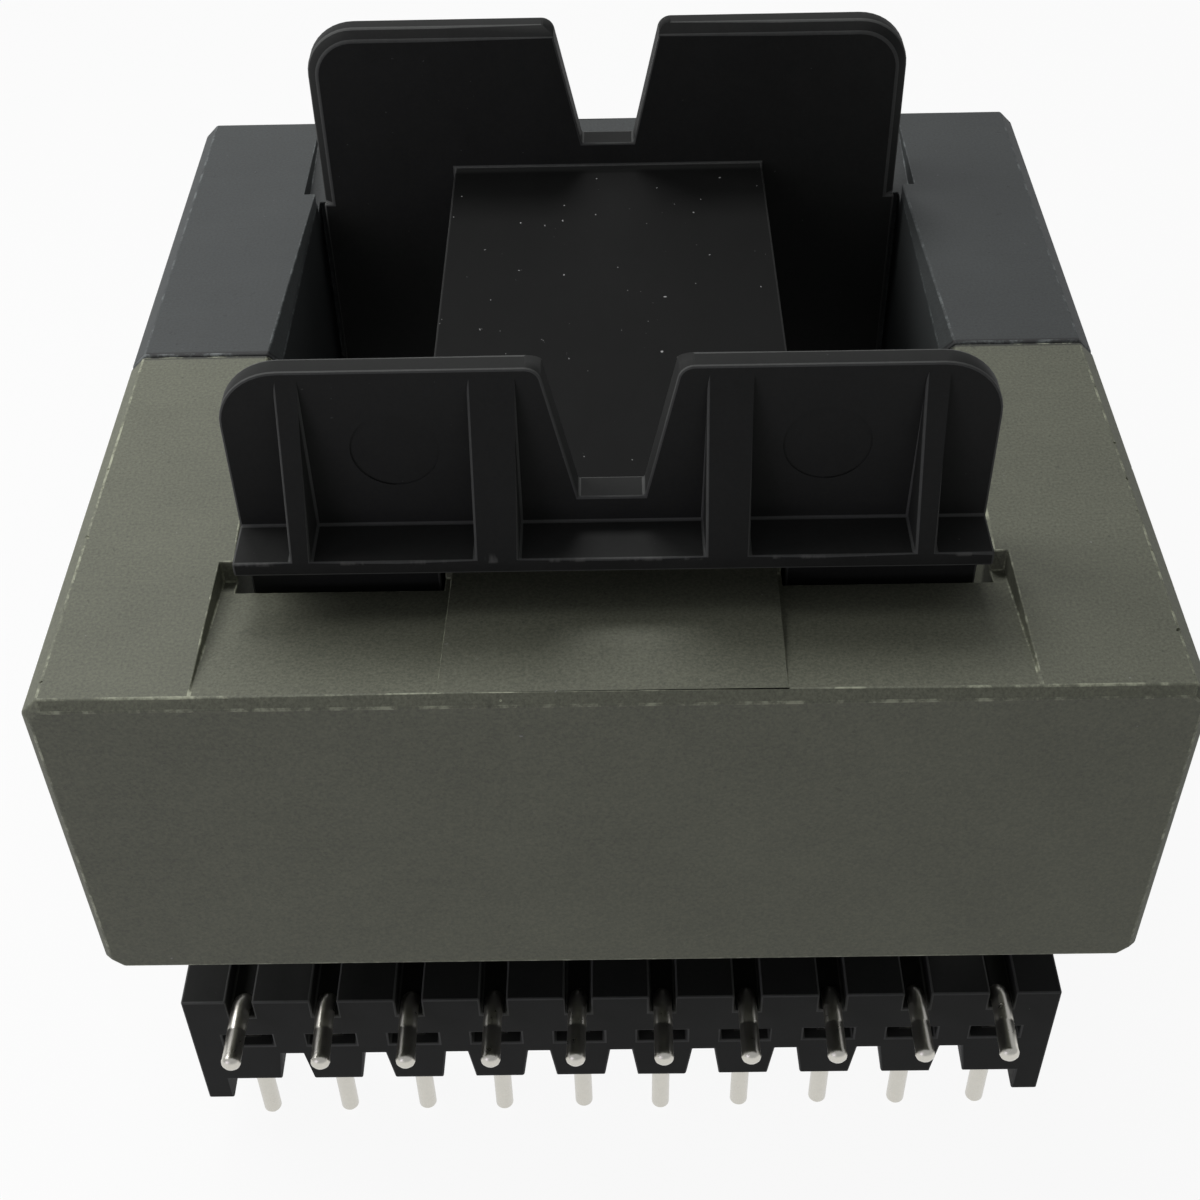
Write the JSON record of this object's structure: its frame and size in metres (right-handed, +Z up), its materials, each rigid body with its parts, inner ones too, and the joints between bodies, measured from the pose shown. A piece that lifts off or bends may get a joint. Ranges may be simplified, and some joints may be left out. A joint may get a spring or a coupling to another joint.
{
  "type": "ferrite e core pair on a pinned coil former",
  "caption": "Two ferrite E halves, face to face, in a black coil former with notched wings, terminal blocks and two rows of tinned wire pins, ready to be wound.",
  "frame": {"origin": "middle of the part on the plane that the pin tips stand on", "axes": "+X along the pin rows, +Y along the core legs from the front half to the rear half, +Z up from the circuit board"},
  "size_m": [0.0552, 0.0552, 0.0548],
  "materials": {
    "ferrite": "matt, fired and ground",
    "black_plastic": "moulded thermoset, low sheen",
    "tinned_wire": "dip tinned"
  },
  "bodies": {
    "root": {"core_front": "ferrite", "core_rear": "ferrite", "coil_former": "black_plastic", "pin_front_1": "tinned_wire", "pin_front_2": "tinned_wire", "pin_front_3": "tinned_wire", "pin_front_4": "tinned_wire", "pin_front_5": "tinned_wire", "pin_front_6": "tinned_wire", "pin_front_7": "tinned_wire", "pin_front_8": "tinned_wire", "pin_front_9": "tinned_wire", "pin_front_10": "tinned_wire", "pin_rear_1": "tinned_wire", "pin_rear_2": "tinned_wire", "pin_rear_3": "tinned_wire", "pin_rear_4": "tinned_wire", "pin_rear_5": "tinned_wire", "pin_rear_6": "tinned_wire", "pin_rear_7": "tinned_wire", "pin_rear_8": "tinned_wire", "pin_rear_9": "tinned_wire", "pin_rear_10": "tinned_wire"}
  },
  "joints": []
}
